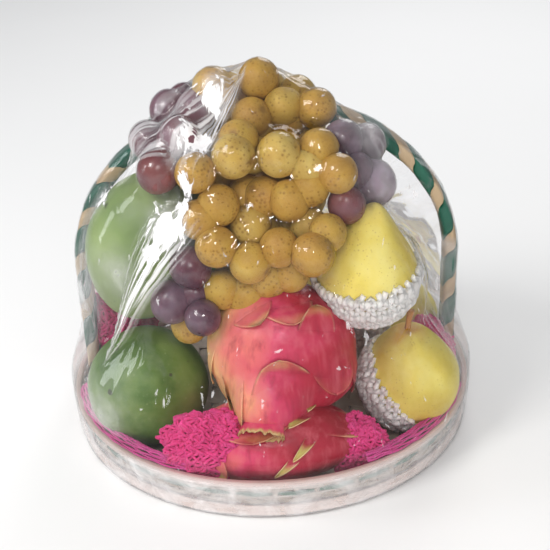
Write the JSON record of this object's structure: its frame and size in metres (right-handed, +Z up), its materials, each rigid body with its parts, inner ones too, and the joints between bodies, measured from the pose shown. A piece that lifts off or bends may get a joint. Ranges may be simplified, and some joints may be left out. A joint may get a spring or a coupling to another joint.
{
  "type": "wrapped fruit gift basket",
  "caption": "Round woven tray with an arched handle, heaped with longans, grapes, mangoes, dragon fruits and pears in foam nets, and wrapped tight in clear film.",
  "frame": {"origin": "middle of the round base, on the surface the basket stands on", "axes": "+Z up; +Y away from the pictured front; +X to the right as seen from the front, along the handle's span"},
  "size_m": [0.2636, 0.2636, 0.2445],
  "materials": {
    "straw": "matte split strips, woven",
    "hoop": "satin",
    "cane": "satin",
    "green_strip": "satin strip",
    "longan": "matte fruit skin with fine pores",
    "grape": "smooth fruit skin with bloom",
    "mango": "smooth fruit skin",
    "pear": "smooth fruit skin with fine dots",
    "dragonfruit": "waxy fruit skin",
    "white_foam": "foam net",
    "pink_foam": "foam net",
    "clear_film": "clear glossy film"
  },
  "bodies": {
    "root": {"tray": "straw", "rim_hoop": "hoop", "foot_hoop": "hoop", "handle": "cane", "handle_wrap": "green_strip", "pear_upper": "pear", "pear_lower": "pear", "pear_side": "pear", "pear_back": "pear", "net_upper": "white_foam", "net_lower": "white_foam", "net_side": "white_foam", "net_back": "white_foam", "mango_lower": "mango", "mango_upper": "mango", "mango_back": "mango", "dragonfruit_upper": "dragonfruit", "dragonfruit_lower": "dragonfruit", "longan_bunch": "longan", "grapes_left_top": "grape", "grapes_left_low": "grape", "grapes_right": "grape", "pink_net_left": "pink_foam", "pink_net_right": "pink_foam", "pink_net_left_back": "pink_foam", "pink_net_right_back": "pink_foam", "pink_band_left": "pink_foam", "pink_band_right": "pink_foam", "film": "clear_film"}
  },
  "joints": []
}
